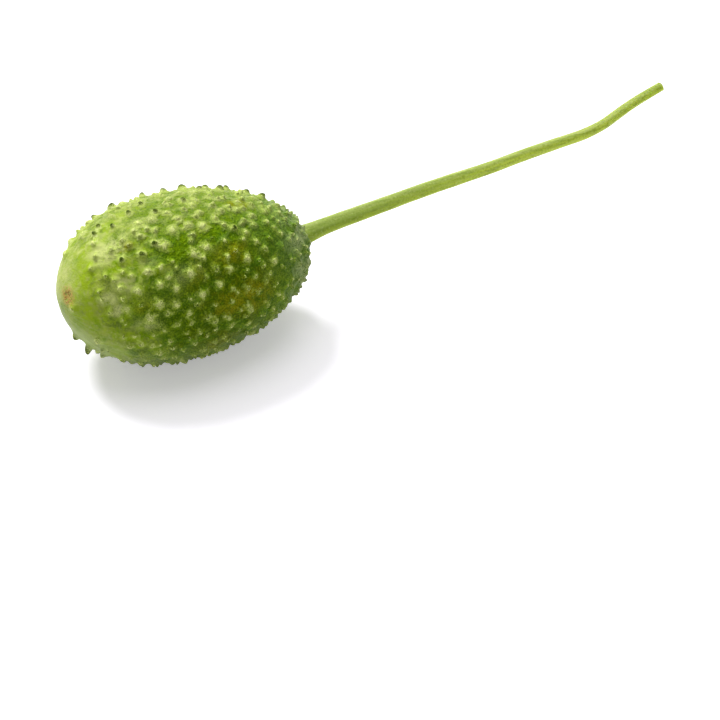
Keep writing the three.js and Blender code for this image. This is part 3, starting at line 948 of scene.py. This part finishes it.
def stalk_material(settings):
    """Fresh cucurbit peduncle, as grown: fine long fibres under a thin satin skin.

    The eye gets a greyish top over a yellower flank, pale ridges, greener grooves, faint long
    streaks and small pale and dark flecks. The greyish, duller top is painted sheen and shade, and
    a paler underside is painted light from the floor's bounce.
    """
    material, tree = new_material("fresh_gherkin_stalk")
    place = add(tree, "ShaderNodeTexCoord").outputs["Object"]
    mask = read_masks(tree, ("ridge", "along_stalk", "upper", "cut"))
    long_way = add(
        tree, "ShaderNodeVectorMath", {0: place, 1: [1 / length for length in FIBRE_SIZE]},
        operation="MULTIPLY",
    ).outputs["Vector"]
    fibre = add(
        tree, "ShaderNodeTexNoise", {"Vector": long_way, "Scale": 1.0, "Detail": 4.0}
    ).outputs["Fac"]
    fleck = add(
        tree, "ShaderNodeTexNoise", {"Vector": place, "Scale": 1 / FLECK_SIZE, "Detail": 2.0}
    ).outputs["Fac"]
    colour = lay_coats(tree, settings, "skin_green", (
        ("tip_green", 0.85, (mask["along_stalk"], 0.05, 0.6)),
        # painted light from the floor's bounce on the underside
        ("painted_bounce_green", 0.55, (mask["upper"], 0.65, -0.1)),
        # painted sheen and shade on the stalk's top
        ("painted_sheen_top_green", 0.8, (mask["upper"], 0.55, 1.0)),
        ("groove_green", 0.2, (mask["ridge"], 0.45, 0.0)),
        ("groove_green", 0.45, (fibre, 0.45, 0.7)),
        ("groove_green", 0.4, (fleck, 0.48, 0.36)),
        ("ridge_green", 0.2, (mask["ridge"], 0.6, 1.0)),
        ("ridge_green", 0.4, (fleck, 0.56, 0.7)),
        ("cut_green", 1.0, (mask["cut"], 0.0, 1.0)),
    ))
    relief = add(
        tree, "ShaderNodeBump", {"Height": fibre, "Strength": 0.4, "Distance": 0.1 * MM}
    )
    skin = add(
        tree, "ShaderNodeBsdfPrincipled",
        {
            "Base Color": colour,
            "Roughness": 0.55,
            "IOR": 1.4,
            "Specular IOR Level": 0.15,
            "Normal": relief.outputs["Normal"],
            "Subsurface Weight": 0.9,
            "Subsurface Radius": (1.0, 1.0, 0.4),
            "Subsurface Scale": 2.0 * MM,
            "Sheen Weight": 0.2,
            "Sheen Roughness": 0.3,
            "Sheen Tint": (0.9, 0.92, 0.8),
        },
    )
    add(tree, "ShaderNodeOutputMaterial", {"Surface": skin.outputs["BSDF"]})
    return material


# ---------- the stage

LOOK_AT = (38.4 * MM, -26.0 * MM, 0)
FLOOR_LEVEL = -0.02 * MM
SEEN_GLOW = 0.36  # added to what the camera sees of the floor, so that it reads as white
WORLD_LIGHT = 0.3
LAMPS = (
    # name, right, away, up (metres from the view's middle, seen from the camera), size, watts
    ("key_softbox", -0.5, 0.6, 1.1, 0.5, 18.0),
    ("overhead_softbox", 0.0, 0.2, 1.4, 1.2, 8.0),
)


def seen_rays(tree):
    """1 for what the camera sees, straight or by a mirror or through glass, and 0 for the rest."""
    rays = add(tree, "ShaderNodeLightPath")
    seen = rays.outputs["Is Camera Ray"]
    for kind in ("Is Glossy Ray", "Is Transmission Ray"):
        seen = maths(tree, "MAXIMUM", seen, rays.outputs[kind])
    return seen


def floor_material(settings):
    """Matt white paper, as coated: lit paper reads as white and keeps the soft shadow."""
    material, tree = new_material("matt_white_paper")
    paper = add(
        tree, "ShaderNodeBsdfDiffuse", {"Color": settings.floor_white[:], "Roughness": 0.0}
    )
    strength = maths(tree, "MULTIPLY", seen_rays(tree), SEEN_GLOW)
    glow = add(tree, "ShaderNodeEmission", {"Color": (1.0, 1.0, 1.0), "Strength": strength})
    both = add(
        tree, "ShaderNodeAddShader", {0: paper.outputs["BSDF"], 1: glow.outputs["Emission"]}
    )
    add(tree, "ShaderNodeOutputMaterial", {"Surface": both.outputs["Shader"]})
    return material


def make_world():
    """White all round: plain light for the object, full white where it is seen or mirrored."""
    world = bpy.data.worlds.new("white_studio")
    bpy.context.scene.world = world
    world.use_nodes = True
    tree = world.node_tree
    tree.nodes.clear()
    strength = remap(tree, seen_rays(tree), (0, 1), (WORLD_LIGHT, 1))
    sky = add(tree, "ShaderNodeBackground", {"Color": (1.0, 1.0, 1.0), "Strength": strength})
    add(tree, "ShaderNodeOutputWorld", {"Surface": sky.outputs["Background"]})


def make_lamps(settings):
    """Soft lamps that stand round the camera's line of sight and face the fruit."""
    turn = settings.azimuth
    right = Vector((math.cos(turn), math.sin(turn), 0))
    away = Vector((-math.sin(turn), math.cos(turn), 0))
    middle = Vector(LOOK_AT)
    for name, to_right, to_back, height, size, watts in LAMPS:
        light = bpy.data.lights.new(name, "AREA")
        light.shape = "DISK"
        light.size = size
        light.energy = watts
        lamp = put_in_scene(name, light)
        lamp.location = middle + right * to_right + away * to_back + Vector((0, 0, height))
        lamp.rotation_euler = (middle - lamp.location).to_track_quat("-Z", "Y").to_euler()


def make_camera(settings):
    camera = bpy.data.cameras.new("camera")
    camera.lens = settings.lens
    camera.sensor_width = 36
    camera.clip_start = 0.01
    camera.clip_end = 20
    holder = put_in_scene("camera", camera)
    back = Vector((
        math.sin(settings.azimuth) * math.cos(settings.elevation),
        -math.cos(settings.azimuth) * math.cos(settings.elevation),
        math.sin(settings.elevation),
    ))
    holder.location = Vector(LOOK_AT) + back * settings.distance
    holder.rotation_euler = (-back).to_track_quat("-Z", "Y").to_euler()
    bpy.context.scene.camera = holder


def make_floor(settings):
    half = settings.floor_size / 2
    mesh = bpy.data.meshes.new("floor")
    corners = ((-half, -half), (half, -half), (half, half), (-half, half))
    mesh.from_pydata([(x, y, FLOOR_LEVEL) for x, y in corners], [], [(0, 1, 2, 3)])
    mesh.materials.append(floor_material(settings))
    put_in_scene("floor", mesh)


# ---------- operators and panel


class GHERKIN_OT_stage(bpy.types.Operator):
    """Set out the white floor, the soft lamps and the camera"""

    bl_idname = "gherkin.stage"
    bl_label = "Stage"

    def execute(self, context):
        settings = context.scene.gherkin_stage
        make_floor(settings)
        make_world()
        make_lamps(settings)
        make_camera(settings)
        context.scene.view_settings.view_transform = "Standard"
        return {"FINISHED"}


class GHERKIN_OT_fruit(bpy.types.Operator):
    """Grow the fruit: its body, its prickles and its blossom scar, in one closed mesh"""

    bl_idname = "gherkin.fruit"
    bl_label = "Fruit"

    def execute(self, context):
        settings = context.scene.gherkin_fruit
        skin = Skin(settings.half_length, settings.radius)
        rind = rind_material(settings)
        fruit = make_piece("prickly_fruit", *fruit_geometry(skin, settings), rind)
        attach(fruit, "root")
        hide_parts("fruit")
        return {"FINISHED"}


class GHERKIN_OT_stalk(bpy.types.Operator):
    """Grow the long stalk out of the fruit's end"""

    bl_idname = "gherkin.stalk"
    bl_label = "Stalk"

    def execute(self, context):
        fruit_settings = context.scene.gherkin_fruit
        settings = context.scene.gherkin_stalk
        skin = Skin(fruit_settings.half_length, fruit_settings.radius)
        fibre = stalk_material(settings)
        stalk = make_piece("ridged_stalk", *stalk_geometry(skin, settings), fibre)
        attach(stalk, "root")
        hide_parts("stem")
        return {"FINISHED"}


class GHERKIN_PT_panel(bpy.types.Panel):
    """Sidebar panel that lists the pieces, with their sizes and colours"""

    bl_idname = "GHERKIN_PT_panel"
    bl_label = "West Indian gherkin"
    bl_space_type = "VIEW_3D"
    bl_region_type = "UI"
    bl_category = "Gherkin"

    def draw(self, context):
        for operator, group in (
            ("gherkin.stage", context.scene.gherkin_stage),
            ("gherkin.fruit", context.scene.gherkin_fruit),
            ("gherkin.stalk", context.scene.gherkin_stalk),
        ):
            box = self.layout.box()
            box.operator(operator)
            for name in group.__annotations__:
                box.prop(group, name)


CLASSES = (
    GherkinFruitSettings,
    GherkinStalkSettings,
    GherkinStageSettings,
    GHERKIN_OT_stage,
    GHERKIN_OT_fruit,
    GHERKIN_OT_stalk,
    GHERKIN_PT_panel,
)
GROUPS = {
    "gherkin_fruit": GherkinFruitSettings,
    "gherkin_stalk": GherkinStalkSettings,
    "gherkin_stage": GherkinStageSettings,
}


def register():
    for cls in CLASSES:
        bpy.utils.register_class(cls)
    for name, group in GROUPS.items():
        setattr(bpy.types.Scene, name, bpy.props.PointerProperty(type=group))


def unregister():
    for name in GROUPS:
        delattr(bpy.types.Scene, name)
    for cls in reversed(CLASSES):
        bpy.utils.unregister_class(cls)


def main():
    register()
    bpy.ops.gherkin.stage()
    bpy.ops.gherkin.fruit()
    bpy.ops.gherkin.stalk()


if __name__ == "__main__":
    main()
